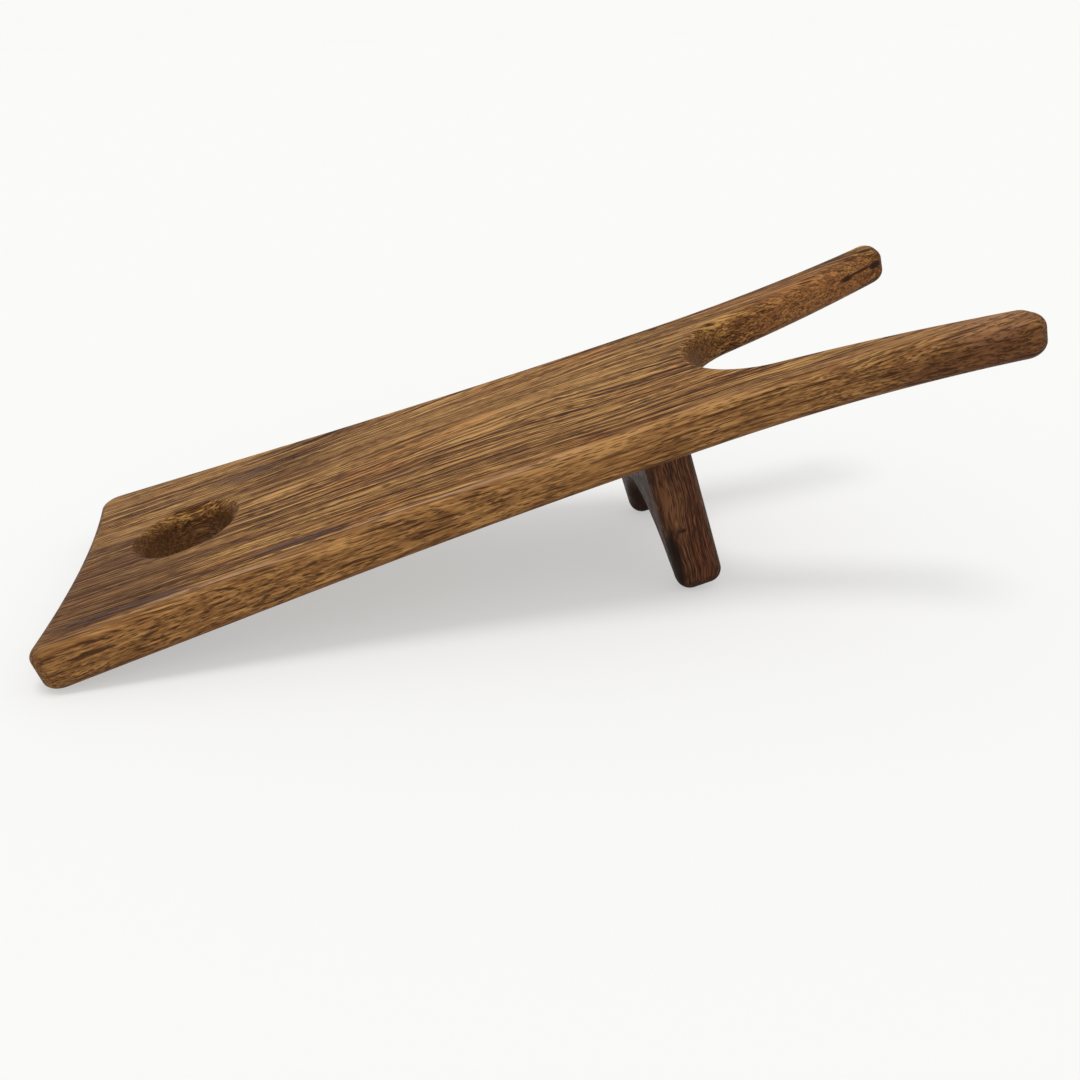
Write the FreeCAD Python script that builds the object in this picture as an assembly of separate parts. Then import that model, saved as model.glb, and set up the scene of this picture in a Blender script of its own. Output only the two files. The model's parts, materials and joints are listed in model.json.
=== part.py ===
"""Boot jack: a waisted hardwood board on one arched cross leg, with a heel notch and a hang hole.

The pieces are drawn in the board's own frame: u runs along the board from its low rear end to the prong
tips, v runs across it, and w is square to its top face, which is w = 0.  The finished boot jack is then
tipped until the board's rear end and the feet of the leg stand on one floor.
"""
import FreeCAD, Part
import math
import os

from FreeCAD import Placement, Rotation, Vector

# ---------------------------------------------------------------- driving dimensions, mm and degrees
BOARD_LENGTH = 450.0            # rear end to the prong tips, before the tips are rounded
BOARD_THICKNESS = 20.0
REAR_WIDTH = 171.4              # across the rear corners, before they are rounded
REAR_HOLLOW = 6.6               # the rear end is hollowed in by this at its middle
REAR_CORNER_RADIUS = 10.0
FLANK_TAPER = 5.4               # each straight rear flank leans in by this
WAIST_WIDTH = 131.8
WAIST_BEHIND_NOTCH = 14.0       # the narrowest place, behind the root of the heel notch
PRONG_SPREAD = 181.5            # across the prong tips, before they are rounded

NOTCH_DEPTH = 131.0             # heel notch, prong tips to its root
NOTCH_RADIUS = 37.6             # the heel's round at the root
NOTCH_HALF_ANGLE = 11.6         # where the root round runs into the prongs
PRONG_TIP_WIDTH = 23.0
PRONG_END_SKEW = 10.0           # the outer corner of each prong is ahead by this angle
PRONG_CORNER_RADIUS = 7.5

RIM_ROUND = 5.0                 # rims of the board, both faces
TIP_ROUND = 7.0                 # the rims grow to this on the prong tips

HOLE_AT = 61.4                  # hang hole, from the rear end
HOLE_DIAMETER = 43.6
HOLE_ROUND = 5.4                # its rim in the top face
HOLE_ROUND_BELOW = 2.0          # its rim in the underside

LEG_BEHIND_NOTCH = 21.3         # the top of the leg's front face, behind the root of the heel notch
LEG_THICKNESS = 22.5
LEG_WIDTH = 107.4
LEG_HEIGHT = 74.5               # below the board's underside
LEG_LEAN = 1.7                  # the feet are ahead of the leg's top by this
LEG_ROUND = 7.0                 # outer upright edges and feet
FOOT_WIDTH = 14.9               # of leg left on either side of the round arch at its widest
ARCH_DROP = 2.0                 # the middle of the arch's round is this far below the feet
ARCH_ROUND = 5.0

DOWEL_DIAMETER = 8.0
DOWEL_CHAMFER = 1.0
DOWEL_IN_BOARD = 12.0
DOWEL_IN_LEG = 18.0
DOWEL_END_SPARE = 1.0           # left free past each end of a dowel, for glue
DOWEL_SHARES = (-0.64, -0.27, 0.27, 0.64)       # places across the leg, of its half width

# ---------------------------------------------------------------- worked out from the sizes above
UNDERSIDE = -BOARD_THICKNESS
FEET = UNDERSIDE - LEG_HEIGHT
NOTCH_ROOT = BOARD_LENGTH - NOTCH_DEPTH
WAIST_AT = NOTCH_ROOT - WAIST_BEHIND_NOTCH
LEG_AT = NOTCH_ROOT - LEG_BEHIND_NOTCH - LEG_THICKNESS
ARCH_RADIUS = LEG_WIDTH / 2 - FOOT_WIDTH


def tangent_arc(start, direction, end):
    """The arc that leaves start along direction and ends at end, flat in u and v."""
    chord = end - start
    across = Vector(-direction.y, direction.x, 0).normalize()
    radius = chord.dot(chord) / (2 * chord.dot(across))
    centre = start + across * radius
    middle = (start + end) * 0.5 - centre
    return Part.Arc(start, centre + middle.normalize() * abs(radius), end).toShape()


def line(start, end):
    return Part.LineSegment(start, end).toShape()


def polar(radius, angle):
    return Vector(radius * math.cos(angle), radius * math.sin(angle), 0)


def prong_corners():
    """The outer and inner corners of the +v prong's end, before they are rounded."""
    skew = math.radians(PRONG_END_SKEW)
    outer = Vector(BOARD_LENGTH + PRONG_TIP_WIDTH * math.sin(skew), PRONG_SPREAD / 2, 0)
    inner = Vector(BOARD_LENGTH, PRONG_SPREAD / 2 - PRONG_TIP_WIDTH * math.cos(skew), 0)
    return outer, inner


def outer_side():
    """The +v side from the middle of the rear end to the outer corner of the prong."""
    rear_middle = Vector(REAR_HOLLOW, 0, 0)
    rear_corner = Vector(0, REAR_WIDTH / 2, 0)
    waist = Vector(WAIST_AT, WAIST_WIDTH / 2, 0)
    taper = math.radians(FLANK_TAPER)
    reach = (rear_corner.y - waist.y) / math.tan(taper)
    tangent = WAIST_AT - reach
    flank_end = Vector(reach - tangent * math.cos(taper), waist.y + tangent * math.sin(taper), 0)
    return [
        tangent_arc(rear_middle, Vector(0, 1, 0), rear_corner),
        line(rear_corner, flank_end),
        tangent_arc(waist, Vector(-1, 0, 0), flank_end),
        tangent_arc(waist, Vector(1, 0, 0), prong_corners()[0]),
    ]


def notch_side():
    """The +v wall of the heel notch, from its root to the inner corner of the prong."""
    spread = math.radians(NOTCH_HALF_ANGLE)
    heel = Vector(NOTCH_ROOT + NOTCH_RADIUS, 0, 0)
    side_angle = math.pi / 2 + spread
    root = heel + polar(NOTCH_RADIUS, math.pi)
    root_side = heel + polar(NOTCH_RADIUS, side_angle)
    between = heel + polar(NOTCH_RADIUS, (math.pi + side_angle) / 2)
    return [
        Part.Arc(root, between, root_side).toShape(),
        tangent_arc(root_side, polar(1, spread), prong_corners()[1]),
    ]


def mirrored(shape):
    return shape.mirror(Vector(0, 0, 0), Vector(0, 1, 0))


def board_blank():
    """The sawn board: the outline at full thickness, with sharp rims and square corners."""
    half = outer_side() + notch_side() + [line(*prong_corners())]
    edges = half + [mirrored(edge) for edge in half]
    wire = Part.Wire(Part.__sortEdges__(edges))
    return Part.Face(wire).extrude(Vector(0, 0, -BOARD_THICKNESS))


def is_upright(edge):
    first, last = edge.Vertexes[0].Point, edge.Vertexes[-1].Point
    return abs(first.z - last.z) > BOARD_THICKNESS / 2


def upright_edges(solid, corner):
    """The two upright edges at a corner and at its mirror image."""
    def near(edge):
        at = edge.Vertexes[0].Point
        return math.hypot(at.x - corner.x, abs(at.y) - corner.y) < 0.01
    return [edge for edge in solid.Edges if is_upright(edge) and near(edge)]


def rounded(solid, radii):
    """The solid with edges rounded: radii gives each edge's number its radius at either end."""
    document = FreeCAD.newDocument()
    base = document.addObject("Part::Feature", "Base")
    base.Shape = solid
    fillet = document.addObject("Part::Fillet", "Rounded")
    fillet.Base = base
    fillet.Edges = [(number, start, end) for number, (start, end) in radii.items()]
    document.recompute()
    result = fillet.Shape.Solids[0]
    FreeCAD.closeDocument(document.Name)
    return result


def rim_radius(u):
    """The rim's radius: even as far as the waist, then growing along the prongs."""
    share = (u - WAIST_AT) / (BOARD_LENGTH - PRONG_TIP_WIDTH - WAIST_AT)
    return RIM_ROUND + (TIP_ROUND - RIM_ROUND) * min(max(share, 0), 1)


def rim_radii(solid):
    radii = {}
    for number, edge in enumerate(solid.Edges, 1):
        if not is_upright(edge):
            start, end = edge.valueAt(edge.FirstParameter), edge.valueAt(edge.LastParameter)
            radii[number] = (rim_radius(start.x), rim_radius(end.x))
    return radii


def dowel_places():
    """The middle of the leg's top, once for each dowel."""
    middle = LEG_AT + LEG_THICKNESS / 2
    return [Vector(middle, share * LEG_WIDTH / 2, UNDERSIDE) for share in DOWEL_SHARES]


def cylinder(diameter, low, high, axis_point):
    """A cylinder square to the board, between two levels."""
    base = Vector(axis_point.x, axis_point.y, low)
    return Part.makeCylinder(diameter / 2, high - low, base)


def dowel_socket(place):
    low = UNDERSIDE - DOWEL_IN_LEG - DOWEL_END_SPARE
    high = UNDERSIDE + DOWEL_IN_BOARD + DOWEL_END_SPARE
    return cylinder(DOWEL_DIAMETER, low, high, place)


def dowel(place):
    pin = cylinder(DOWEL_DIAMETER, UNDERSIDE - DOWEL_IN_LEG, UNDERSIDE + DOWEL_IN_BOARD, place)
    ends = [edge for edge in pin.Edges if edge.isClosed()]
    return pin.makeChamfer(DOWEL_CHAMFER, ends)


def board():
    """The board: outline, rounded corners, rounded rims, hang hole and the sockets for the dowels."""
    solid = board_blank()
    rear_corner = Vector(0, REAR_WIDTH / 2, 0)
    solid = solid.makeFillet(REAR_CORNER_RADIUS, upright_edges(solid, rear_corner))
    for corner in prong_corners():
        solid = solid.makeFillet(PRONG_CORNER_RADIUS, upright_edges(solid, corner))
    solid = rounded(solid, rim_radii(solid))
    solid = solid.cut(cylinder(HOLE_DIAMETER, UNDERSIDE, 0, Vector(HOLE_AT, 0, 0)))
    solid = solid.makeFillet(HOLE_ROUND, hole_rims(solid, 0))
    solid = solid.makeFillet(HOLE_ROUND_BELOW, hole_rims(solid, UNDERSIDE))
    for place in dowel_places():
        solid = solid.cut(dowel_socket(place))
    return solid


def hole_rims(solid, level):
    """The hang hole's sharp rim at a level."""
    def at_level(circle):
        return abs(circle.Radius - HOLE_DIAMETER / 2) < 0.01 and abs(circle.Center.z - level) < 0.01
    return [edge for edge in solid.Edges
            if edge.isClosed() and isinstance(edge.Curve, Part.Circle) and at_level(edge.Curve)]


def leg_side():
    """The leg's side elevation, leaning forward towards its feet, drawn across its width."""
    top_back = Vector(LEG_AT, -LEG_WIDTH / 2, UNDERSIDE)
    top_front = top_back + Vector(LEG_THICKNESS, 0, 0)
    down = Vector(LEG_LEAN, 0, -LEG_HEIGHT)
    outline = Part.makePolygon([top_back, top_front, top_front + down, top_back + down, top_back])
    return Part.Face(outline).extrude(Vector(0, LEG_WIDTH, 0))


def arch():
    """The round cut through the leg that leaves its two feet."""
    centre = Vector(0, 0, FEET - ARCH_DROP)
    return Part.makeCylinder(ARCH_RADIUS, BOARD_LENGTH, centre, Vector(1, 0, 0))


def leg_radii(solid):
    """The radius of every edge of the leg but those against the board."""
    radii = {}
    for number, edge in enumerate(solid.Edges, 1):
        points = edge.discretize(5)
        on_top = all(abs(p.z - UNDERSIDE) < 0.01 for p in points)
        in_arch = all(abs(p.y) < ARCH_RADIUS + 0.01 for p in points)
        if not on_top:
            radius = ARCH_ROUND if in_arch else LEG_ROUND
            radii[number] = (radius, radius)
    return radii


def leg_block():
    """The leg: side elevation less the arch, rounded, with its dowel sockets."""
    solid = leg_side().cut(arch()).Solids[0]
    solid = rounded(solid, leg_radii(solid))
    for place in dowel_places():
        solid = solid.cut(dowel_socket(place))
    return solid


def pieces():
    """Every piece of the boot jack by name, in the board's frame."""
    made = {"board": board(), "leg_block": leg_block()}
    for number, place in enumerate(dowel_places(), 1):
        made[f"leg_dowel_{number}"] = dowel(place)
    return made


def tilted(shape, tilt):
    turned = shape.copy()
    turned.Placement = Placement(Vector(0, 0, 0), Rotation(Vector(0, 1, 0), -tilt))
    return turned


def low_point(shape, tilt):
    return tilted(shape, tilt).optimalBoundingBox(False).ZMin


def stance(made):
    """The placement that stands the boot jack on its floor, with the origin under its middle."""
    reach = LEG_AT + LEG_LEAN
    tilt = math.degrees(math.atan2(LEG_HEIGHT, reach))
    for _ in range(6):
        lift = low_point(made["leg_block"], tilt) - low_point(made["board"], tilt)
        tilt -= math.degrees(lift / reach)
    whole = tilted(Part.makeCompound(list(made.values())), tilt)
    box = whole.optimalBoundingBox(False)
    shift = Vector(-(box.XMin + box.XMax) / 2, -(box.YMin + box.YMax) / 2, -box.ZMin)
    print(f"tilt {tilt:.3f} degrees, overall {box.XLength:.2f} x {box.YLength:.2f} x {box.ZLength:.2f} mm")
    return Placement(shift, whole.Placement.Rotation)


def main():
    os.makedirs("parts", exist_ok=True)
    made = pieces()
    placement = stance(made)
    for name, shape in made.items():
        shape.Placement = placement.multiply(shape.Placement)
        shape.exportStep(f"parts/{name}.step")


if __name__ == "__main__":
    main()
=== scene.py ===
"""Boot jack: builds the oiled hardwood board, its arched leg and the leg's fluted dowels.

Sizes are in millimetres in the board's own frame: u runs along the board from its low rear end to the
prong tips, v runs across it, and w is square to its top face, which is w = 0.
"""

import json
import logging
import math
from dataclasses import dataclass, field
from enum import Enum
from typing import Any, Callable, Iterable, Sequence

import bmesh
import bpy
import numpy as np
from mathutils import Matrix, Vector
from mathutils.geometry import delaunay_2d_cdt


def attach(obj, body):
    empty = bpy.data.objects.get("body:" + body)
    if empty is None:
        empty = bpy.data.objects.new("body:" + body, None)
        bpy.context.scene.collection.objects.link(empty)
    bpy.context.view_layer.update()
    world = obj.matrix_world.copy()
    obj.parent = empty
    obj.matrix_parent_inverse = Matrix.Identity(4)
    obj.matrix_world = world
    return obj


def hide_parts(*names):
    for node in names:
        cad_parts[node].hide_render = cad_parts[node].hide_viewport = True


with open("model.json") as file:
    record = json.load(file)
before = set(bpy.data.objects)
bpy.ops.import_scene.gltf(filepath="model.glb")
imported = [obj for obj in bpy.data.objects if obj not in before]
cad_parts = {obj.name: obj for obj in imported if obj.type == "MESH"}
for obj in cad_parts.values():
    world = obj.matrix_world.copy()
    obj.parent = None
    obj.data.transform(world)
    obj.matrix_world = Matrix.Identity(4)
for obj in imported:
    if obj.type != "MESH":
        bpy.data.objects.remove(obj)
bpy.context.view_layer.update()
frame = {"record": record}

LOG = logging.getLogger("boot_jack")
MM = 0.001
SUPPORT = 0.35          # flat strip between a face and its rounded rim, which keeps the shading crisp
WELD = 2e-6             # metres
DENSE = 0.05            # between the points of an outline before it is resampled
CORNER_POINTS = 80      # points round a corner before it is resampled
EVEN = 0.4              # between the points at which a path's bend is read
WINDOW = 9              # of those points that each reading is averaged over
ROW = 0.87              # height of a row of triangles in a flat face, in spacings
CLEAR = 0.55            # kept clear inside a flat face's rim, in spacings
BLOCK = 200             # rim points that are measured against a face's grid at a time

Array = np.ndarray
Colour = tuple[float, float, float]


# ------------------------------------------------------------------------------------------ outlines
def tangent_arc(start: Sequence[float], direction: Sequence[float],
                end: Sequence[float]) -> Array:
    """The arc that leaves start along direction and ends at end.

    The radius is chord squared over twice the chord's share across the direction, and the points are the
    start turned about the centre by even steps of angle.

    Args:
        start: First point, in the outline's plane.
        direction: The way the arc leaves it.
        end: Last point.

    Returns:
        Points of the arc, one a row, both ends among them.
    """
    a, b = np.asarray(start, float), np.asarray(end, float)
    along = np.asarray(direction, float) / np.linalg.norm(direction)
    across = np.array([-along[1], along[0]])
    chord = b - a
    radius = chord @ chord / (2 * chord @ across)
    centre = a + across * radius
    first = math.atan2(*(a - centre)[::-1])
    turn = 2 * math.atan2(chord @ across, chord @ along)
    angles = first + np.linspace(0, turn, max(int(abs(radius * turn) / DENSE), 2))
    return centre + abs(radius) * np.stack([np.cos(angles), np.sin(angles)], 1)


def straight(start: Sequence[float], end: Sequence[float]) -> Array:
    """Evenly spaced points from start to end."""
    count = max(int(np.linalg.norm(np.subtract(end, start)) / DENSE), 2)
    return np.linspace(start, end, count)


def inward(points: Array) -> Array:
    """Unit normals to the right of a path's direction, which is where the wood is."""
    along = np.gradient(points, axis=0)
    along /= np.linalg.norm(along, axis=1, keepdims=True)
    return np.stack([along[:, 1], -along[:, 0]], 1)


def round_corner(first: Array, second: Array, radius: float, reach: int = 900) -> Array:
    """Two paths joined by a round.

    Its middle is where the paths, both moved inward by the radius, meet.

    Args:
        first: Path that ends at the corner.
        second: Path that starts there.
        radius: Radius of the round.
        reach: How many points back from the corner are tried.

    Returns:
        The joined path.
    """
    a, b = first[-reach:], second[:reach]
    a_in, b_in = a + radius * inward(a), b + radius * inward(b)
    gaps = np.linalg.norm(a_in[:, None] - b_in[None], axis=2)
    i, j = np.unravel_index(np.argmin(gaps), gaps.shape)
    centre = (a_in[i] + b_in[j]) / 2
    start, end = a[i] - centre, b[j] - centre
    turn = math.atan2(start[0] * end[1] - start[1] * end[0], start @ end)
    angles = math.atan2(start[1], start[0]) + np.linspace(0, turn, CORNER_POINTS)[1:-1]
    arc = centre + radius * np.stack([np.cos(angles), np.sin(angles)], 1)
    return np.concatenate([first[:len(first) - len(a) + i + 1], arc, second[j:]])


def mirrored(half: Array) -> Array:
    """A half outline followed by its mirror image across the middle line, back to where it started."""
    return np.concatenate([half, half[-2:0:-1] * [1, -1]])


def resampled(path: Array, closed: bool, finest: float = 0.55, coarsest: float = 1.5,
              bend: float = 0.09) -> Array:
    """A path with its points spaced by how much it bends: the same angle from point to point.

    The local step is bend over curvature, kept between finest and coarsest; points fall where the sum of
    length over step passes whole numbers.

    Args:
        path: Dense points.
        closed: Whether the last point joins the first.
        finest: Smallest step.
        coarsest: Largest step.
        bend: Angle from one point to the next, in radians.

    Returns:
        The new points; a closed path's first point isn't repeated.
    """
    loop = np.concatenate([path, path[:1]]) if closed else path
    legs = np.diff(loop, axis=0)
    lengths = np.linalg.norm(legs, axis=1)
    keep = np.concatenate([lengths > 1e-9, [True]])
    loop = loop[keep]
    legs = np.diff(loop, axis=0)
    lengths = np.linalg.norm(legs, axis=1)
    at = np.concatenate([[0], np.cumsum(lengths)])
    even = np.linspace(0, at[-1], int(at[-1] / EVEN))
    smooth = np.stack([np.interp(even, at, loop[:, k]) for k in (0, 1)], 1)
    heading = np.unwrap(np.arctan2(*np.gradient(smooth, axis=0).T[::-1]))
    curvature = np.abs(np.gradient(heading, even))
    padded = np.pad(curvature, WINDOW // 2, "edge")
    curvature = np.convolve(padded, np.ones(WINDOW) / WINDOW, "valid")
    step = np.clip(bend / np.maximum(curvature, 1e-6), finest, coarsest)
    count = np.concatenate([[0], np.cumsum(np.diff(even) / step[1:])])
    total = max(int(round(count[-1])), 8)
    wanted = np.interp(np.linspace(0, count[-1], total + 1), count, even)
    points = np.stack([np.interp(wanted, at, loop[:, k]) for k in (0, 1)], 1)
    return points[:-1] if closed else points


# -------------------------------------------------------------------------------------------- meshes
def rim_profile(depth: float, rim: Array, below: Array | None = None, arris: float = 0.0,
                across: int = 14, wall: int = 7) -> tuple[Array, Array]:
    """The rounded edge of a slab: a round, a straight wall and a round.

    A round starts at the arris angle b, which leaves a soft line where it meets the face. At angle a it
    lies rim * (1 - sin a) / (1 - sin b) inside the outline and rim * (cos b - cos a) / cos b below the
    face.

    Args:
        depth: Thickness of the slab.
        rim: Radius of the round on the upper face at each point of the outline.
        below: Radius of the round on the lower face; the same as the rim's if it is left out.
        arris: Angle at which the rounds start, in degrees.
        across: Steps in each round.
        wall: Steps in the wall.

    Returns:
        How far inside the outline and how far below the face, each a row for a point of the outline.
    """
    first = math.radians(arris)
    angle = np.linspace(first, math.pi / 2, across + 1)
    inward_share = (1 - np.sin(angle)) / (1 - math.sin(first))
    down_share = (math.cos(first) - np.cos(angle)) / math.cos(first)
    rim = np.asarray(rim, float)[:, None]
    below = rim if below is None else np.asarray(below, float)[:, None]
    walls = rim + (depth - rim - below) * np.linspace(0, 1, wall + 1)[1:-1]
    inset = np.concatenate([rim + SUPPORT, rim * inward_share, 0 * walls,
                            below * inward_share[::-1], below + SUPPORT], 1)
    down = np.concatenate([0 * rim, rim * down_share, walls,
                           depth - below * down_share[::-1], 0 * rim + depth], 1)
    return inset, down


def inside(points: Array, loops: Iterable[Array]) -> Array:
    """Which points lie inside the loops, by counting the edges crossed on the way out along x."""
    crossings = np.zeros(len(points), int)
    x, y = points[:, :1], points[:, 1:]
    for loop in loops:
        a, b = loop, np.roll(loop, -1, axis=0)
        spans = (a[:, 1] > y) != (b[:, 1] > y)
        rise = np.where(np.abs(b[:, 1] - a[:, 1]) < 1e-12, 1e-12, b[:, 1] - a[:, 1])
        meets = a[:, 0] + (y - a[:, 1]) * (b[:, 0] - a[:, 0]) / rise
        crossings += (spans & (x < meets)).sum(1)
    return crossings % 2 == 1


def filled(loops: Sequence[Array], spacing: float = 3.5) -> tuple[Array, Array]:
    """A flat face with holes: a slanted grid of points inside the loops, triangulated with them.

    Args:
        loops: The outer loop and the loops of the holes.
        spacing: Distance between the points inside.

    Returns:
        Points and triangles.
    """
    rim = np.concatenate(loops)
    low, high = rim.min(0), rim.max(0)
    rows = np.arange(low[1] + spacing / 2, high[1], spacing * ROW)
    cols = np.arange(low[0] + spacing / 2, high[0], spacing)
    grid = np.stack(np.meshgrid(cols, rows), -1)
    grid[1::2, :, 0] += spacing / 2
    grid = grid.reshape(-1, 2)
    grid = grid[inside(grid, loops)]
    near = np.full(len(grid), np.inf)
    for start in range(0, len(rim), BLOCK):
        gaps = np.linalg.norm(grid[:, None] - rim[None, start:start + BLOCK], axis=2)
        near = np.minimum(near, gaps.min(1))
    grid = grid[near > spacing * CLEAR]
    points = np.concatenate([rim, grid])
    starts = np.cumsum([0] + [len(loop) for loop in loops[:-1]])
    counts = [np.arange(len(loop)) for loop in loops]
    edges = np.concatenate([np.stack([count, np.roll(count, -1)], 1) + start
                            for count, start in zip(counts, starts)])
    made, _, faces, *_ = delaunay_2d_cdt([Vector(p) for p in points], edges.tolist(), [], 0, 1e-6)
    made, faces = np.array(made), np.array(faces)
    middles = made[faces].mean(1)
    return made, faces[inside(middles, loops)]


@dataclass
class Skin:
    """The surface of one piece while it is put together from grids and flat faces."""

    name: str
    points: list[Array] = field(default_factory=list)
    faces: list[Array] = field(default_factory=list)
    count: int = 0

    def grid(self, surface: Array, closed: bool = False) -> None:
        """Adds a surface given as points on a grid of two parameters.

        Args:
            surface: Points, of shape rows by columns by 3.
            closed: Whether the last row joins the first.
        """
        rows, cols = surface.shape[:2]
        index = np.arange(rows * cols).reshape(rows, cols) + self.count
        if closed:
            index = np.concatenate([index, index[:1]])
        quads = np.stack([index[:-1, :-1], index[1:, :-1], index[1:, 1:], index[:-1, 1:]], -1)
        self.add(surface.reshape(-1, 3), quads.reshape(-1, 4))

    def add(self, points: Array, faces: Array) -> None:
        """Adds points and the faces between them, whose numbers count from the skin's first point."""
        self.points.append(points)
        self.faces.append(faces)
        self.count += len(points)

    def flat(self, loops: Sequence[Array], place: Callable[[Array], Array]) -> None:
        """Adds a flat face inside loops, which place carries from its plane into space."""
        points, triangles = filled(loops)
        self.add(place(points), triangles + self.count)

    def finish(self, where: Matrix) -> bpy.types.Object:
        """Welds the surfaces, turns them outward and puts them in their place.

        Args:
            where: From the board's frame in millimetres to the row's frame in metres.

        Returns:
            The piece, smooth-shaded, with its object at the origin.
        """
        turn = np.array(where)
        points = np.concatenate(self.points) @ turn[:3, :3].T + turn[:3, 3]
        faces = [face for block in self.faces for face in block.tolist()]
        mesh = bpy.data.meshes.new(self.name)
        mesh.from_pydata(points.tolist(), [], faces)
        work = bmesh.new()
        work.from_mesh(mesh)
        bmesh.ops.remove_doubles(work, verts=work.verts, dist=WELD)
        bmesh.ops.dissolve_degenerate(work, edges=work.edges, dist=WELD)
        bmesh.ops.recalc_face_normals(work, faces=work.faces)
        open_edges = sum(1 for edge in work.edges if not edge.is_manifold)
        work.to_mesh(mesh)
        work.free()
        mesh.polygons.foreach_set("use_smooth", np.ones(len(mesh.polygons), bool))
        mesh.update()
        piece = bpy.data.objects.new(self.name, mesh)
        bpy.context.scene.collection.objects.link(piece)
        LOG.info("%s: %d faces, %d open edges", self.name, len(mesh.polygons), open_edges)
        return piece


def ring(radius: Array | float, count: int, centre: Sequence[float]) -> Array:
    """Circles about a point: one for each radius, as an array of angle by radius by 2."""
    angle = np.linspace(0, 2 * math.pi, count, endpoint=False)[:, None]
    radius = np.atleast_1d(radius)[None]
    return np.stack([centre[0] + radius * np.cos(angle), centre[1] + radius * np.sin(angle)], -1)


# -------------------------------------------------------------------------------------------- pieces
@dataclass
class Board:
    """The waisted lever board with its heel notch and hang hole."""

    length: float = 450.0
    thickness: float = 20.0
    rear_width: float = 171.4
    rear_hollow: float = 6.6
    rear_corner: float = 10.0
    flank_taper: float = 5.4
    waist_width: float = 131.8
    waist_at: float = 305.0
    prong_spread: float = 181.5
    notch_root: float = 319.0
    notch_radius: float = 37.6
    notch_half_angle: float = 11.6
    prong_tip_width: float = 23.0
    prong_end_skew: float = 10.0
    prong_corner: float = 8.5
    rim: float = 5.0
    tip_rim: float = 7.0
    hole_at: float = 61.4
    hole_radius: float = 21.8
    hole_rim: float = 5.4
    hole_rim_below: float = 2.0
    arris: float = 13.0
    hole_arris: float = 35.0
    hole_steps: int = 150

    def half_outline(self) -> Array:
        """The far half of the outline, from the middle of the rear end to the root of the notch."""
        rear = np.array([0, self.rear_width / 2])
        waist = np.array([self.waist_at, self.waist_width / 2])
        taper = math.radians(self.flank_taper)
        reach = (rear[1] - waist[1]) / math.tan(taper)
        back = self.waist_at - reach
        flank_end = [reach - back * math.cos(taper), waist[1] + back * math.sin(taper)]
        skew, tip = math.radians(self.prong_end_skew), self.prong_tip_width
        outer = [self.length + tip * math.sin(skew), self.prong_spread / 2]
        inner = [self.length, self.prong_spread / 2 - tip * math.cos(skew)]
        spread = math.radians(self.notch_half_angle)
        heel = self.notch_root + self.notch_radius
        side = [heel - self.notch_radius * math.sin(spread), self.notch_radius * math.cos(spread)]
        wall = tangent_arc(side, [math.cos(spread), math.sin(spread)], inner)[::-1]
        root = tangent_arc([self.notch_root, 0], [0, 1], side)[::-1]
        end = tangent_arc([self.rear_hollow, 0], [0, 1], rear)
        flank = np.concatenate([
            straight(rear, flank_end)[:-1],
            tangent_arc(waist, [-1, 0], flank_end)[::-1][:-1],
            tangent_arc(waist, [1, 0], outer)])
        half = round_corner(end, flank, self.rear_corner)
        half = round_corner(half, straight(outer, inner), self.prong_corner)
        return np.concatenate([round_corner(half, wall, self.prong_corner)[:-1], root])

    def rim_radius(self, u: Array) -> Array:
        """The rim's radius along the board: it grows along the prongs."""
        share = (u - self.waist_at) / (self.length - self.prong_tip_width - self.waist_at)
        return self.rim + (self.tip_rim - self.rim) * np.clip(share, 0, 1)

    def build(self, where: Matrix, sockets: Sequence["DowelJoint"]) -> bpy.types.Object:
        """Makes the board: rims carried round the outline and the hole, and two flat faces.

        Args:
            where: From the board's frame in millimetres to the row's frame in metres.
            sockets: The dowels that go into its underside.

        Returns:
            The board.
        """
        skin = Skin("board_wood")
        outline = resampled(mirrored(self.half_outline()), closed=True)
        ends = np.concatenate([outline[-1:], outline, outline[:1]])
        inset, down = rim_profile(self.thickness, self.rim_radius(outline[:, 0]), arris=self.arris)
        flat = outline[:, None] + inset[..., None] * inward(ends)[1:-1, None]
        skin.grid(np.concatenate([flat, -down[..., None]], -1), closed=True)
        hole_in, hole_down = rim_profile(self.thickness, np.full(1, self.hole_rim),
                                         np.full(1, self.hole_rim_below), self.hole_arris)
        hole = ring(self.hole_radius + hole_in[0], self.hole_steps, (self.hole_at, 0))
        level = np.broadcast_to(-hole_down, hole.shape[:2])[..., None]
        skin.grid(np.concatenate([hole, level], -1), closed=True)
        mouths = [joint.mouth() for joint in sockets]
        for column, holes in ((0, []), (-1, mouths)):
            loops = [flat[:, column], hole[:, column], *holes]
            height = -down[0, column]
            skin.flat(loops, lambda p: np.column_stack([p, np.full(len(p), height)]))
        for joint in sockets:
            skin.grid(joint.socket(joint.underside + joint.in_board + joint.spare), closed=True)
        return skin.finish(where)


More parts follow.
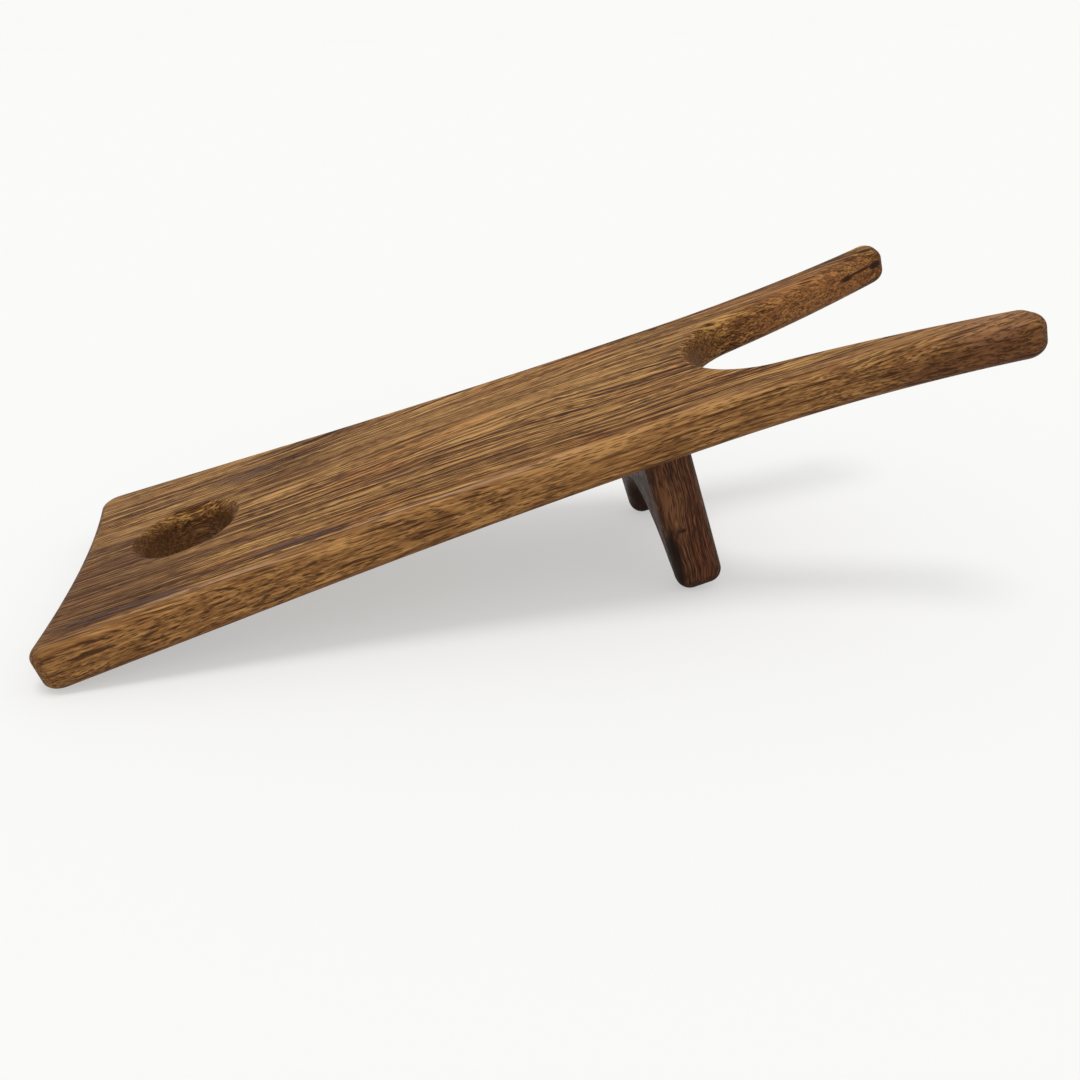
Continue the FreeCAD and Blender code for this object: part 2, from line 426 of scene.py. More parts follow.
@dataclass
class DowelJoint:
    """One hidden dowel between the leg and the board, and the sockets it is glued in."""

    number: int
    u: float
    v: float
    radius: float = 4.0
    chamfer: float = 1.0
    in_board: float = 12.0
    in_leg: float = 18.0
    spare: float = 1.0
    underside: float = -20.0
    flutes: int = 18
    flute_depth: float = 0.28
    flute_steps: int = 8
    slip: float = 0.02
    around: int = 48
    shaft_rings: int = 22
    wall_rings: int = 6
    end_rings: tuple[float, ...] = (0.66, 0.33, 0.0)

    def mouth(self) -> Array:
        """The socket's round in the board's underside."""
        return ring(self.radius, self.around, (self.u, self.v))[:, 0]

    def socket(self, end: float) -> Array:
        """The socket's wall from the underside to its end, and the end closed to its middle."""
        levels = np.concatenate([np.linspace(self.underside, end, self.wall_rings),
                                 np.full(len(self.end_rings), end)])
        radii = np.concatenate([np.full(self.wall_rings, self.radius),
                                self.radius * np.array(self.end_rings)])
        circles = ring(radii, self.around, (self.u, self.v))
        height = np.broadcast_to(levels[:, None], circles.shape[:2] + (1,))
        return np.concatenate([circles, height], -1)

    def build(self, where: Matrix) -> bpy.types.Object:
        """Makes the dowel: a circle with round-bottomed flutes, drawn along it and chamfered.

        The radius at angle a is the dowel's less flute_depth times a raised cosine of flutes * a.

        Args:
            where: From the board's frame in millimetres to the row's frame in metres.

        Returns:
            The dowel.
        """
        low, high = self.underside - self.in_leg, self.underside + self.in_board
        shaft_levels = np.linspace(low + self.chamfer, high - self.chamfer, self.shaft_rings)
        levels = np.concatenate([[low, low, low], shaft_levels, [high, high, high]])
        small = self.radius - self.chamfer
        shaft_radii = np.full(self.shaft_rings, self.radius - self.slip)
        radii = np.concatenate([[0, small / 2, small], shaft_radii, [small, small / 2, 0]])
        steps = self.flute_steps * self.flutes
        angle = np.linspace(0, 2 * math.pi, steps, endpoint=False)
        dip = self.flute_depth * (0.5 + 0.5 * np.cos(self.flutes * angle)) ** 2
        shaft = (radii >= small)[None]
        radius = radii[None] - dip[:, None] * shaft
        u = self.u + radius * np.cos(angle)[:, None]
        v = self.v + radius * np.sin(angle)[:, None]
        skin = Skin(f"fluted_dowel_{self.number}")
        skin.grid(np.stack([u, v, np.broadcast_to(levels, u.shape)], -1), closed=True)
        return skin.finish(where)


@dataclass
class LegBlock:
    """The arched cross leg under the board."""

    at: float = 275.2
    thickness: float = 22.5
    width: float = 107.4
    height: float = 74.5
    lean: float = 1.7
    edge_round: float = 7.0
    arch_radius: float = 38.8
    arch_drop: float = 2.0
    arch_round: float = 5.0
    rim_blend: float = 5.0
    top: float = -20.0
    coarsest: float = 1.3
    top_steps: int = 40

    @property
    def feet(self) -> float:
        """The level of the feet's undersides."""
        return self.top - self.height

    def half_outline(self) -> Array:
        """The far half of the front elevation, from the top down the side and foot and up to the crown."""
        half, drop, radius = self.width / 2, self.arch_drop, self.arch_radius
        foot_in = math.sqrt(radius ** 2 - drop ** 2)
        side = straight([half, self.top], [half, self.feet])
        foot = straight([half, self.feet], [foot_in, self.feet])
        arch = tangent_arc([foot_in, self.feet], [-drop, foot_in], [0, self.feet - drop + radius])
        foot_end = round_corner(side, foot, self.edge_round + SUPPORT, 700)
        return round_corner(foot_end, arch, self.edge_round + SUPPORT, 240)

    def leaning(self, through: Array, level: Array) -> Array:
        """Where along the board a place through the leg is: the lean puts its feet ahead of its top."""
        return self.at + through + self.lean * (self.top - level) / self.height

    def build(self, where: Matrix, sockets: Sequence[DowelJoint]) -> bpy.types.Object:
        """Makes the leg: rims carried along the n-shaped outline, two faces and a bored top.

        Args:
            where: From the board's frame in millimetres to the row's frame in metres.
            sockets: The dowels that go into its top.

        Returns:
            The leg.
        """
        skin = Skin("leg_wood")
        half = self.half_outline()
        whole = np.concatenate([half, half[-2::-1] * [-1, 1]])
        outline = resampled(whole, closed=False, coarsest=self.coarsest)
        foot_middle = self.width / 4 + self.arch_radius / 2
        above = (outline[:, 1] - self.feet - self.edge_round) / self.rim_blend
        in_arch = np.clip(above, 0, 1) * (np.abs(outline[:, 0]) < foot_middle)
        rim = self.edge_round - (self.edge_round - self.arch_round) * in_arch
        inset, x = rim_profile(self.thickness, rim)
        normals = inward(outline)
        normals[[0, -1]] = [[-1, 0], [1, 0]]
        flat = outline[:, None] + inset[..., None] * normals[:, None]

        def upright(through: Array, across: Array, level: Array) -> Array:
            """Points from their places through the leg, across it and up it."""
            return np.stack([self.leaning(through, level), across, level], -1)

        skin.grid(upright(x, flat[..., 0], flat[..., 1]))
        steps = np.linspace(flat[-1, 0, 0], flat[0, 0, 0], self.top_steps)[1:-1]
        for column in (0, -1):
            edge = np.column_stack([steps, np.full(len(steps), self.top)])
            loop = np.concatenate([flat[:, column], edge])
            through = x[0, column]
            skin.flat([loop], lambda p: upright(np.full(len(p), through), p[:, 0], p[:, 1]))
        front = np.column_stack([np.full(len(steps), x[0, -1]), steps[::-1]])
        back = np.column_stack([np.full(len(steps), x[0, 0]), steps])
        first = np.column_stack([x[0], flat[0, :, 0]])
        last = np.column_stack([x[-1], flat[-1, :, 0]])
        mouths = [joint.mouth() - [self.at, 0] for joint in sockets]
        skin.flat([np.concatenate([first, front, last[::-1], back]), *mouths],
                  lambda p: upright(p[:, 0], p[:, 1], np.full(len(p), self.top)))
        for joint in sockets:
            skin.grid(joint.socket(joint.underside - joint.in_leg - joint.spare), closed=True)
        return skin.finish(where)


# ------------------------------------------------------------------------------------------- shading
@dataclass(frozen=True)
class Layer:
    """Marks in the wood: their size along, across and through the grain, and how they break up."""

    size: tuple[float, float, float]
    detail: float = 2.0
    rough: float = 0.5


class Value:
    """A number, colour or vector in a material's nodes, written in sums like any other number."""

    def __init__(self, shader: "Shader", socket: bpy.types.NodeSocket) -> None:
        """Keeps the socket and the shader it belongs to."""
        self.shader, self.socket = shader, socket

    def math(self, operation: str, *others: "Value | float", swap: bool = False) -> "Value":
        """The Math node of that operation on this value and the others."""
        terms = (*others, self) if swap else (self, *others)
        return self.shader.node("ShaderNodeMath", {"operation": operation}, dict(enumerate(terms)))

    def __add__(self, other: "Value | float") -> "Value":
        """Sum."""
        return self.math("ADD", other)

    __radd__ = __add__

    def __mul__(self, other: "Value | float") -> "Value":
        """Product."""
        return self.math("MULTIPLY", other)

    __rmul__ = __mul__

    def __sub__(self, other: "Value | float") -> "Value":
        """Difference."""
        return self.math("SUBTRACT", other)

    def __rsub__(self, other: "Value | float") -> "Value":
        """Difference from a plain number."""
        return self.math("SUBTRACT", other, swap=True)

    def __truediv__(self, other: "Value | float") -> "Value":
        """Quotient."""
        return self.math("DIVIDE", other)

    def __abs__(self) -> "Value":
        """The value without its sign."""
        return self.math("ABSOLUTE")

    def smooth(self, low: float, high: float) -> "Value":
        """0 below low, 1 above high and a smooth step between; low may be the larger."""
        if low > high:
            return 1 - self.smooth(high, low)
        return self.shader.node("ShaderNodeMapRange", {"interpolation_type": "SMOOTHSTEP"},
                                {"Value": self, "From Min": low, "From Max": high})

    def scaled(self, *sizes: float) -> "Value":
        """This place divided by sizes, one for each axis."""
        return self.shader.node("ShaderNodeVectorMath", {"operation": "DIVIDE"}, {0: self, 1: sizes})


class Shader:
    """One material and its nodes."""

    def __init__(self, name: str) -> None:
        """Starts an empty material."""
        self.material = bpy.data.materials.new(name)
        self.material.use_nodes = True
        self.tree = self.material.node_tree
        self.tree.nodes.clear()

    def node(self, kind: str, settings: dict[str, Any] | None = None,
             sockets: dict[int | str, Any] | None = None, out: int | str = 0) -> Value:
        """Adds a node.

        Args:
            kind: Blender's name for it.
            settings: Its own properties; "stops" are a ramp's places and colours.
            sockets: Values or links for its inputs, by name or number.
            out: The output that is wanted.

        Returns:
            That output.
        """
        made = self.tree.nodes.new(kind)
        for name, setting in (settings or {}).items():
            if name == "stops":
                self._stops(made.color_ramp.elements, setting)
            else:
                setattr(made, name, setting)
        for name, value in (sockets or {}).items():
            if isinstance(value, Value):
                self.tree.links.new(value.socket, made.inputs[name])
            else:
                made.inputs[name].default_value = value
        return Value(self, made.outputs[out])

    @staticmethod
    def _stops(elements: bpy.types.ColorRampElements, stops: Sequence[tuple[float, Colour]]) -> None:
        """Sets a ramp's stops, which run from the first place to the last."""
        while len(elements) < len(stops):
            elements.new(0.5)
        for element, (place, colour) in zip(elements, stops):
            element.position, element.color = place, (*colour, 1)

    def noise(self, place: Value, layer: Layer) -> Value:
        """Fractal noise at a place, about 0.5, stretched to a layer's marks."""
        return self.node("ShaderNodeTexNoise", {"noise_dimensions": "3D"},
                         {"Vector": place.scaled(*layer.size), "Scale": 1.0,
                          "Detail": layer.detail, "Roughness": layer.rough}, "Fac")

    def swing(self, place: Value, layer: Layer) -> Value:
        """The same noise, about zero."""
        return self.noise(place, layer) - 0.5

    def cells(self, place: Value, layer: Layer) -> Value:
        """How far a place is from the nearest of a scatter of points, one or so to each mark's size."""
        return self.node("ShaderNodeTexVoronoi", {"voronoi_dimensions": "3D", "feature": "F1"},
                         {"Vector": place.scaled(*layer.size), "Scale": 1.0}, "Distance")

    def blend(self, share: Value | float, low: Value | Colour, high: Value | Colour,
              how: str = "MIX") -> Value:
        """Two colours mixed: low where share is 0 and high where it is 1."""
        low, high = (c if isinstance(c, Value) else (*c, 1) for c in (low, high))
        return self.node("ShaderNodeMix", {"data_type": "RGBA", "blend_type": how},
                         {0: share, 6: low, 7: high}, 2)

    def combined(self, x: Value, y: Value, z: Value) -> Value:
        """A place from its three parts."""
        return self.node("ShaderNodeCombineXYZ", None, {0: x, 1: y, 2: z})

    def parts(self, place: Value) -> tuple[Value, Value, Value]:
        """The three parts of a place."""
        first = self.node("ShaderNodeSeparateXYZ", None, {0: place})
        return tuple(Value(self, socket) for socket in first.socket.node.outputs)

    def dot(self, first: Value, second: Sequence[float]) -> Value:
        """How far one direction goes along another."""
        return self.node("ShaderNodeVectorMath", {"operation": "DOT_PRODUCT"},
                         {0: first, 1: second}, "Value")

    def surface(self, colour: Value, roughness: Value, normal: Value, gloss: float) -> None:
        """The material's surface: colour, roughness, relief and a constant gloss."""
        skin = self.node("ShaderNodeBsdfPrincipled", None,
                         {"Base Color": colour, "Roughness": roughness, "Normal": normal,
                          "Specular IOR Level": gloss})
        self.finish(skin)

    def finish(self, skin: Value) -> None:
        """Joins a surface to the material's output."""
        end = self.tree.nodes.new("ShaderNodeOutputMaterial")
        self.tree.links.new(skin.socket, end.inputs["Surface"])


WANDER = Layer((210, 55, 60), 1.5)
RIPPLE = Layer((38, 26, 14))
BANDS = Layer((150, 12, 14), 3.0, 0.6)
STREAKS = Layer((80, 1.4, 1.6), 2.5, 0.65)
FIBRES = Layer((12, 0.45, 0.5), 2.0, 0.6)
SPECKS = Layer((3.2, 0.75, 0.75), 1.5, 0.6)
LONG_PORES = Layer((70, 1.1, 1.3), 2.0, 0.6)
SHORT_PORES = Layer((6.8, 0.66, 0.62))
DOTS = Layer((3.4, 1.0, 1.0))
CROWDS = Layer((46, 5.0, 5.0))
RUDDY_CLOUDS = Layer((120, 22, 26))
LAYER_EDGE = Layer((42, 9, 9), 3.0, 0.6)
GOLD_FIGURE = Layer((30, 1.3, 1.25), 3.0, 0.66)
PATCH_EDGE = Layer((26, 2.6, 3.4), 2.0, 0.6)

# The cosine between a face's normal and an axis, where a mask starts and where it is full.
CUT_LEAN = (0.18, 0.55)
END_LEAN = (0.06, 0.6)
SIDE_LEAN = (0.45, 0.85)
FLANK_LEAN = (0.02, 0.45)
UNDER_LEAN = (-0.05, -0.6)

# SHADE is the colour that painted shade darkens the wood towards, on the faces that END_LEAN, FLANK_LEAN
# and UNDER_LEAN pick out.
SHADE = (0.35, 0.30, 0.28)
GOLD = ((0.14, (0.100, 0.040, 0.014)), (0.46, (0.250, 0.114, 0.038)), (0.82, (0.49, 0.255, 0.088)))
RELIEF_STRENGTH = 0.55
RELIEF_HEIGHT = 0.00022     # metres


class Grain(Enum):
    """Which way a piece's fibres run: the order of u, v, w that gives along, across, through."""

    ALONG_BOARD = (0, 1, 2)
    UP_THE_LEG = (2, 0, 1)


@dataclass(frozen=True)
class Patch:
    """A cloud of another colour: its middle and half sizes in u, v and w. Most are the wood's own colour;
    some are painted shade and painted highlight.
    """

    middle: tuple[float, float, float]
    reach: tuple[float, float, float]
    colour: Colour
    strength: float = 0.7
    ragged: float = 0.8


@dataclass(frozen=True)
class WoodFinish:
    """An oiled wood, grown in the solid, so that every face shows its own cut of the same grain; shade and
    some light are painted into its colour.
    """

    name: str
    grain: Grain
    tones: tuple[tuple[float, Colour], ...]
    pore: Colour
    red: Colour
    patches: tuple[Patch, ...] = ()
    edge_layer: bool = False
    spread: float = 0.0
    pore_depth: float = 0.85
    roughness: float = 0.5
    gloss: float = 0.22
    ruddy: float = 0.6
    figure: float = 1.0
    # Strengths of painted shade: end_shade on faces along the grain (partly the darker look of oiled end
    # grain), flank_shade on the far flank, under_shade on faces turned down.
    end_shade: float = 0.5
    flank_shade: float = 0.0
    under_shade: float = 0.6
    seed: float = 0.0

    def place(self, shader: Shader, stand: Matrix) -> Value:
        """The point shaded, in millimetres in the board's frame."""
        here = shader.node("ShaderNodeTexCoord", None, None, "Object")
        return shader.node("ShaderNodeMapping", {"vector_type": "TEXTURE"},
                           {"Vector": here, "Location": stand.to_translation(),
                            "Rotation": stand.to_euler(), "Scale": (MM, MM, MM)})

    def flow(self, shader: Shader, along: Value, across: Value, place: Value) -> Value:
        """Which line of the grain a point is on: lines wander, lean and open out along the prongs."""
        line = across + shader.swing(place, WANDER) * 22 + shader.swing(place, RIPPLE) * 3.4
        if self.spread:
            lean = along.smooth(40, 260) * across.smooth(-55, 25) * 17
            line = (line - lean) / (1 + along.smooth(285, 470) * self.spread)
        return line

    def dress(self, piece: bpy.types.Object, stand: Matrix) -> None:
        """Gives a piece this finish.

        Args:
            piece: The piece; its old materials go.
            stand: From the board's frame in millimetres to the row's frame in metres.
        """
        shader = Shader(self.name)
        place = self.place(shader, stand)
        axes = shader.parts(place)
        along, across, through = (axes[i] for i in self.grain.value)
        line = self.flow(shader, along, across, place)
        lines = shader.combined(along + self.seed, line, through)

        facing = shader.node("ShaderNodeTexCoord", None, None, "Normal")
        turn = stand.to_3x3().normalized()
        tipped = abs(shader.dot(facing, turn.col[self.grain.value[0]]))
        outward = shader.dot(facing, turn.col[1])
        cut = tipped.smooth(*CUT_LEAN)
        end_grain = tipped.smooth(*END_LEAN)
        side = abs(outward).smooth(*SIDE_LEAN)

        bands, streaks = shader.swing(lines, BANDS), shader.swing(lines, STREAKS)
        fibres, specks = shader.swing(lines, FIBRES), shader.swing(lines, SPECKS)
        plain = cut.math("MAXIMUM", side * 0.55)
        tone = 0.5 + bands * self.figure * (1.5 - plain * 0.8)
        tone = tone + streaks * self.figure * (3.8 - plain * 3.0)
        tone = tone + fibres * (2.2 - cut * 1.2) + specks * cut * 1.2
        pores = self.pores(shader, lines, along, cut, side)

        colour = shader.node("ShaderNodeValToRGB", {"stops": self.tones}, {"Fac": tone}, "Color")
        ruddy = shader.noise(lines, RUDDY_CLOUDS).smooth(0.5, 0.68)
        colour = shader.blend(ruddy * self.ruddy, colour, self.red, "SOFT_LIGHT")
        # The near edge's pale layer: partly the wood's own colour, partly painted front light on the near
        # flank.
        if self.edge_layer:
            colour = self.golden_layer_and_lit_flank(shader, colour, along, across, place)
        for patch in self.patches:
            colour = self.patched(shader, colour, patch, place, lines)
        # Painted shade: the colour darkens towards SHADE on rims and walls facing along the grain (partly
        # the darker look of oiled end grain), on the far flank and on faces turned down.
        under = shader.dot(facing, turn.col[2]).smooth(*UNDER_LEAN)
        flank = outward.smooth(*FLANK_LEAN)
        shaded = (end_grain * self.end_shade).math("MAXIMUM", flank * self.flank_shade)
        shaded = shaded.math("MAXIMUM", under * self.under_shade)
        colour = shader.blend(shaded, colour, shader.blend(1.0, colour, SHADE, "MULTIPLY"))
        colour = shader.blend(pores * self.pore_depth, colour, self.pore)

        relief = fibres * 0.35 + streaks * 0.2 - pores
        bump = shader.node("ShaderNodeBump", None, {"Height": relief, "Strength": RELIEF_STRENGTH,
                                                    "Distance": RELIEF_HEIGHT}, "Normal")
        rough = self.roughness + pores * 0.22 - tone * 0.10 + end_grain * 0.08
        shader.surface(colour, rough, bump, self.gloss)
        piece.data.materials.clear()
        piece.data.materials.append(shader.material)

    def pores(self, shader: Shader, lines: Value, along: Value, cut: Value, side: Value) -> Value:
        """How much of a pore a point is in: long ones, short ones in crowds, and dots on the prongs.

        Args:
            shader: The material's nodes.
            lines: The point along, across and through the grain.
            along: How far along the board or up the leg it is.
            cut: Where the fibres come out of the face.
            side: Where the face looks to one side.

        Returns:
            0 between the pores and up to 1 in them.
        """
        long_pores = shader.noise(lines, LONG_PORES).smooth(0.46, 0.34)
        short_pores = shader.cells(lines, SHORT_PORES).smooth(0.46, 0.22)
        crowd = shader.noise(lines, CROWDS).smooth(0.36, 0.56)
        crowd = crowd.math("MAXIMUM", cut).math("MAXIMUM", side * 0.7)
        pores = (long_pores * (0.95 - cut * 0.6)).math("MAXIMUM", short_pores * crowd)
        if not self.edge_layer:
            return pores
        dots = shader.cells(lines, DOTS).smooth(0.42, 0.20)
        dotted = (along.smooth(322, 365) * side).math("MAXIMUM", along.smooth(385, 430) * 0.8)
        return pores.math("MAXIMUM", dots * dotted * 0.85)

    def golden_layer_and_lit_flank(self, shader: Shader, colour: Value, along: Value, across: Value,
                    place: Value) -> Value:
        """The paler outer layer of the near edge: it ends in a wavy line just inside the top face. Over
        the near flank this paleness is also painted light, in place of light from the front.
        """
        limit = -71.0 + along.smooth(20, 330) * 14.0
        share = (across + shader.swing(place, LAYER_EDGE) * 13 - limit).smooth(2.2, -2.2)
        tone = 0.5 + shader.swing(place, GOLD_FIGURE) * 1.8
        gold = shader.node("ShaderNodeValToRGB", {"stops": GOLD}, {"Fac": tone}, "Color")
        return shader.blend(share * 0.85, colour, gold)

    def patched(self, shader: Shader, colour: Value, patch: Patch, place: Value,
                lines: Value) -> Value:
        """The colour with a patch on it, fading out raggedly at the patch's reach."""
        offset = shader.node("ShaderNodeVectorMath", {"operation": "SUBTRACT"},
                             {0: place, 1: patch.middle})
        far = shader.node("ShaderNodeVectorMath", {"operation": "LENGTH"},
                          {0: offset.scaled(*patch.reach)}, "Value")
        ragged = shader.swing(lines, PATCH_EDGE) * patch.ragged * 2
        return shader.blend((far + ragged).smooth(1.05, 0.45) * patch.strength, colour, patch.colour)


# ----------------------------------------------------------------------------------------- the stage
@dataclass
class Studio:
    """A pale floor, an even soft sky, one soft overhead light, and the camera."""

    floor_half: float = 30.0
    camera_place: tuple[float, float, float] = (-0.06612, -0.47867, 0.24536)
    camera_turn: tuple[float, float, float] = (64.0496, 1.2466, -9.6282)
    lens: float = 35.0
    sensor: float = 36.0
    pale: Colour = (0.445, 0.445, 0.440)
    floor_glow: float = 1.02
    sky_tint: Colour = (1.0, 1.0, 0.985)
    sky_heights: tuple[float, float] = (0.08, 0.4)
    sky_strengths: tuple[float, float] = (0.955, 0.72)
    lamp_place: tuple[float, float, float] = (0.0, -0.15, 3.0)
    lamp_aim: tuple[float, float, float] = (0.02, -0.05, 0.0)
    lamp_strength: float = 1.25
    lamp_softness: float = 22.0

    def build(self) -> None:
        """Makes the floor, the lights and the camera."""
        self.floor()
        self.sky()
        self.lamp()
        camera = bpy.data.cameras.new("camera")
        camera.lens, camera.sensor_width = self.lens, self.sensor
        camera.clip_start, camera.clip_end = 0.01, 100.0
        holder = bpy.data.objects.new("camera", camera)
        holder.location = self.camera_place
        holder.rotation_euler = [math.radians(angle) for angle in self.camera_turn]
        bpy.context.scene.collection.objects.link(holder)
        bpy.context.scene.camera = holder
        bpy.context.scene.view_settings.view_transform = "Standard"
        LOG.info("studio: floor, sky, overhead light and camera")

    def floor(self) -> None:
        """A wide flat floor at the level that the boot jack stands on."""
        steps = np.linspace(-self.floor_half, self.floor_half, 5)
        x, y = np.meshgrid(steps, steps)
        skin = Skin("floor")
        skin.grid(np.stack([x, y, 0 * x], -1).transpose(1, 0, 2) / MM)
        ground = skin.finish(Matrix.Scale(MM, 4))
        shader = Shader("pale_floor")
        matt = shader.node("ShaderNodeBsdfPrincipled", None,
                           {"Base Color": (*self.pale, 1), "Roughness": 1.0,
                            "Specular IOR Level": 0.0, "Emission Color": (*self.pale, 1),
                            "Emission Strength": self.floor_glow})
        shader.finish(matt)
        ground.data.materials.append(shader.material)

    def sky(self) -> None:
        """An even pale sky, a little brighter low down, so that it meets the floor without a line."""
        world = bpy.data.worlds.new("sky")
        world.use_nodes = True
        bpy.context.scene.world = world
        nodes, links = world.node_tree.nodes, world.node_tree.links
        way, parts, step = (nodes.new(kind) for kind in (
            "ShaderNodeTexCoord", "ShaderNodeSeparateXYZ", "ShaderNodeMapRange"))
        links.new(way.outputs["Generated"], parts.inputs[0])
        links.new(parts.outputs["Z"], step.inputs["Value"])
        ends = ("From Min", "From Max", "To Min", "To Max")
        for name, value in zip(ends, self.sky_heights + self.sky_strengths):
            step.inputs[name].default_value = value
        shade = nodes["Background"]
        shade.inputs["Color"].default_value = (*self.sky_tint, 1)
        links.new(step.outputs[0], shade.inputs["Strength"])

    def lamp(self) -> None:
        """A soft light from far overhead, whose softness is how wide it looks, in degrees."""
        light = bpy.data.lights.new("overhead", "SUN")
        light.energy, light.angle = self.lamp_strength, math.radians(self.lamp_softness)
        holder = bpy.data.objects.new("overhead", light)
        way = Vector(self.lamp_aim) - Vector(self.lamp_place)
        holder.rotation_euler = way.to_track_quat("-Z", "Y").to_euler()
        holder.location = self.lamp_place
        bpy.context.scene.collection.objects.link(holder)


# ------------------------------------------------------------------------------------- the boot jack
DARK_STREAK = (0.080, 0.042, 0.031)
# Painted highlight: a thin pale line along the near top arris.
PAINTED_ARRIS_HIGHLIGHT = (0.45, 0.265, 0.160)
TAN = (0.50, 0.265, 0.092)
KNOT = (0.028, 0.011, 0.007)
BOARD_WOOD = WoodFinish(
    name="oiled_board_wood", grain=Grain.ALONG_BOARD,
    tones=((0.00, (0.034, 0.012, 0.004)), (0.30, (0.110, 0.041, 0.010)), (0.55, (0.238, 0.107, 0.028)),
           (0.95, (0.50, 0.272, 0.082))),
    pore=(0.032, 0.012, 0.006), red=(0.34, 0.11, 0.03), ruddy=0.3, edge_layer=True, spread=0.2,
    gloss=0.05, flank_shade=0.8,
    patches=(
        Patch((20, -30, 0), (75, 60, 60), (0.075, 0.027, 0.009), 0.60, 0.5),
        Patch((410, -88, -15), (100, 22, 17), (0.115, 0.042, 0.017), 0.75, 0.6),
        Patch((392, 54, -9), (85, 24, 15), (0.350, 0.145, 0.050), 0.62, 0.5),
        # Painted shade inside the hang hole.
        Patch((61, 0, -13), (42, 42, 13), (0.170, 0.078, 0.034), 0.60, 0.4),
        # Painted shade on the notch root's wall.
        Patch((324, 0, -13), (16, 60, 13), (0.130, 0.052, 0.020), 0.60, 0.4),
        Patch((436, -72, -3), (34, 16, 8), (0.31, 0.150, 0.078), 0.45, 0.6),
        Patch((210, 20, 0), (130, 34, 8), (0.40, 0.200, 0.062), 0.28, 0.8),
        Patch((24, 72, 0), (38, 15, 30), (0.36, 0.18, 0.060), 0.50),
        Patch((262, 65, 0), (75, 7, 12), (0.27, 0.085, 0.028), 0.50),
        Patch((38, -67, 0), (38, 3.4, 5), DARK_STREAK, 0.9),
        Patch((122, -58, 0), (30, 4.5, 6), DARK_STREAK, 0.8),
        # Painted highlight along the near top arris.
        Patch((85, -71, 0), (45, 1.8, 4), PAINTED_ARRIS_HIGHLIGHT, 0.55),
        Patch((195, -63, 0), (75, 1.8, 4), PAINTED_ARRIS_HIGHLIGHT, 0.55),
        Patch((88, 46, 0), (22, 9, 20), DARK_STREAK, 0.45),
        Patch((168, -22, 0), (20, 4, 10), DARK_STREAK, 0.40),
        Patch((248, -64, -2), (40, 5, 5), TAN, 0.6, 1.1),
        Patch((310, -61, -2), (34, 4, 5), TAN, 0.55, 1.1),
        Patch((379, -67, -2), (15, 4, 5), TAN, 0.6, 1.1),
        Patch((424, 59, -8), (6, 7, 2.3), KNOT, 0.95, 0.4),
        Patch((444, 66, -8), (5, 8, 2.6), KNOT, 0.95, 0.4),
        Patch((434, 62, -7.4), (13, 9, 1.1), KNOT, 0.85, 0.3)))
LEG_WOOD = WoodFinish(
    name="oiled_leg_wood", grain=Grain.UP_THE_LEG,
    tones=((0.0, (0.026, 0.010, 0.006)), (0.36, (0.062, 0.025, 0.012)), (0.60, (0.112, 0.045, 0.021)),
           (1.0, (0.21, 0.090, 0.042))),
    pore=(0.022, 0.009, 0.006), red=(0.26, 0.10, 0.04), ruddy=0.3, figure=0.45, under_shade=0.85,
    seed=37.0, gloss=0.05,
    patches=(
        Patch((283, -51, -46), (6, 12, 16), (0.18, 0.076, 0.032), 0.55),
        Patch((283, -51, -56), (2.6, 6, 4.5), (0.32, 0.15, 0.055), 0.55, 1.0),
        Patch((284, -51, -60), (3.4, 6, 1.4), (0.010, 0.005, 0.004), 0.85, 0.5),
        # Painted shade: the near foot's back face, the whole back face and the far foot.
        Patch((278, -50, -76), (4.2, 14, 24), (0.010, 0.005, 0.004), 0.9, 0.5),
        Patch((274, 0, -60), (3.5, 80, 60), (0.012, 0.006, 0.004), 0.8, 0.4),
        Patch((280, 38, -80), (18, 12, 34), (0.018, 0.008, 0.005), 0.75, 0.3)))
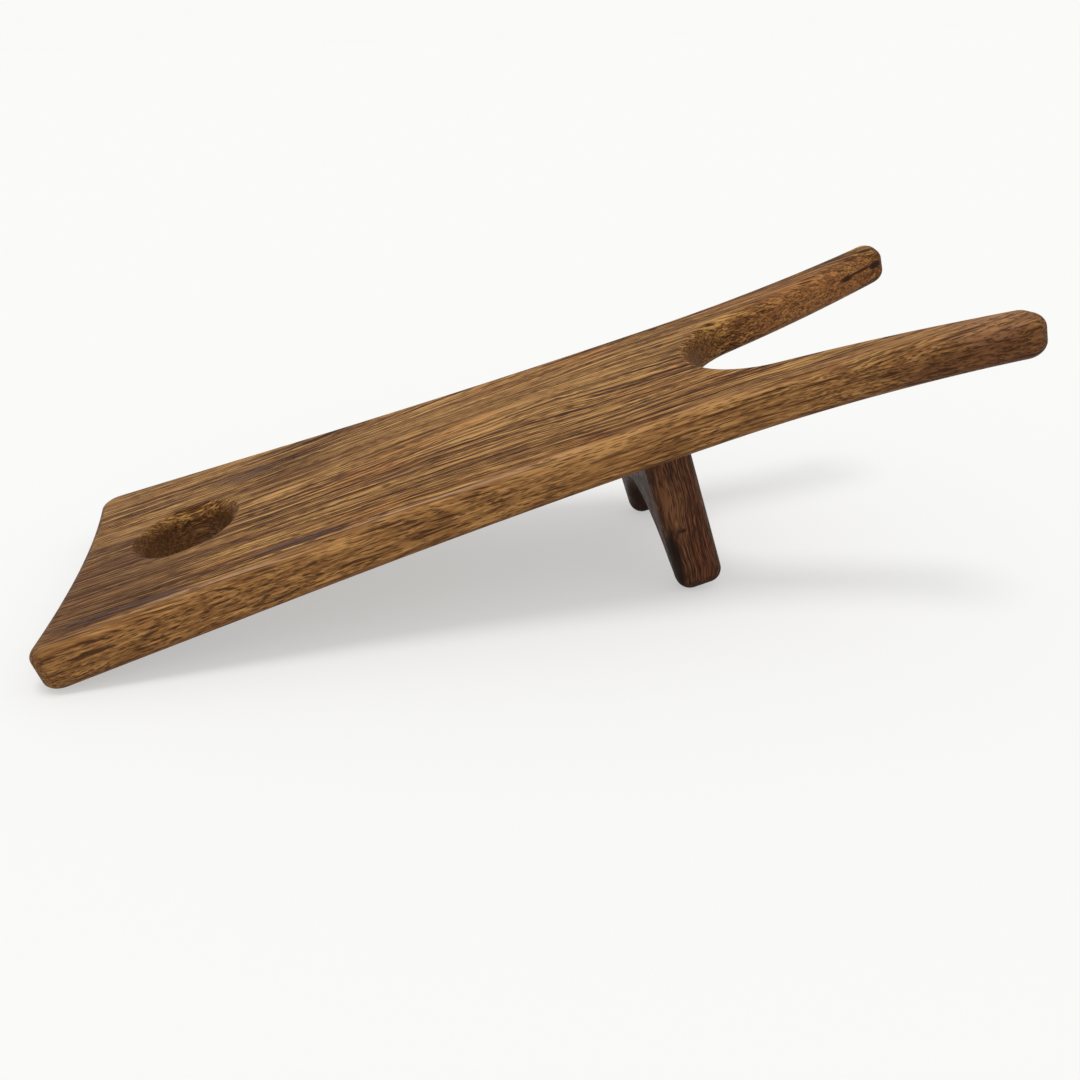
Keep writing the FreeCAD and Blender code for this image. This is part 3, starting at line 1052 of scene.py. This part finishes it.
DOWEL_WOOD = WoodFinish(
    name="bare_dowel_wood", grain=Grain.UP_THE_LEG,
    tones=((0.15, (0.34, 0.21, 0.115)), (0.45, (0.47, 0.31, 0.18)), (0.6, (0.56, 0.38, 0.23)),
           (0.9, (0.66, 0.48, 0.31))),
    pore=(0.25, 0.15, 0.08), red=(0.6, 0.36, 0.22), pore_depth=0.5, roughness=0.72, gloss=0.1, seed=11.0)


@dataclass
class BootJack:
    """The whole boot jack."""

    board: Board = field(default_factory=Board)
    leg: LegBlock = field(default_factory=LegBlock)
    dowel_shares: tuple[float, ...] = (-0.64, -0.27, 0.27, 0.64)

    def stance(self) -> Matrix:
        """From the board's frame in millimetres to the row's frame in metres.

        The hang hole's mount, which is in the middle of the hole's straight wall, gives both.
        """
        mount = next(m for m in frame["record"]["mounts"] if m["name"] == "hang_hole")
        out = Vector(mount["axis"]).normalized()
        along, side = Vector((out.z, 0, -out.x)), Vector((0, 1, 0))
        middle = Vector(mount["pos_m"])
        depth = (self.board.hole_rim + self.board.thickness - self.board.hole_rim_below) / 2
        origin = middle - along * self.board.hole_at * MM + out * depth * MM
        turn = Matrix((along, side, out)).transposed().to_4x4()
        return Matrix.Translation(origin) @ turn @ Matrix.Scale(MM, 4)

    def joints(self) -> list[DowelJoint]:
        """The four dowels, along the middle of the leg's top."""
        middle = self.leg.at + self.leg.thickness / 2
        return [DowelJoint(number, middle, share * self.leg.width / 2)
                for number, share in enumerate(self.dowel_shares, 1)]

    def build(self) -> None:
        """Builds, dresses and places every piece."""
        stand, joints = self.stance(), self.joints()
        made = [(self.board.build(stand, joints), BOARD_WOOD, "board", "board_wood"),
                (self.leg.build(stand, joints), LEG_WOOD, "leg_block", "leg_wood")]
        made += [(joint.build(stand), DOWEL_WOOD, f"leg_dowel_{joint.number}", "dowel_wood")
                 for joint in joints]
        for piece, finish, node, slot in made:
            finish.dress(piece, stand)
            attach(piece, "root")
            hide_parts(node)
            LOG.info("%s stands for %s", piece.name, node)


def main() -> None:
    """Builds the boot jack and its stage."""
    logging.basicConfig(level=logging.INFO, format="%(name)s: %(message)s")
    BootJack().build()
    Studio().build()


if __name__ == "__main__":
    main()
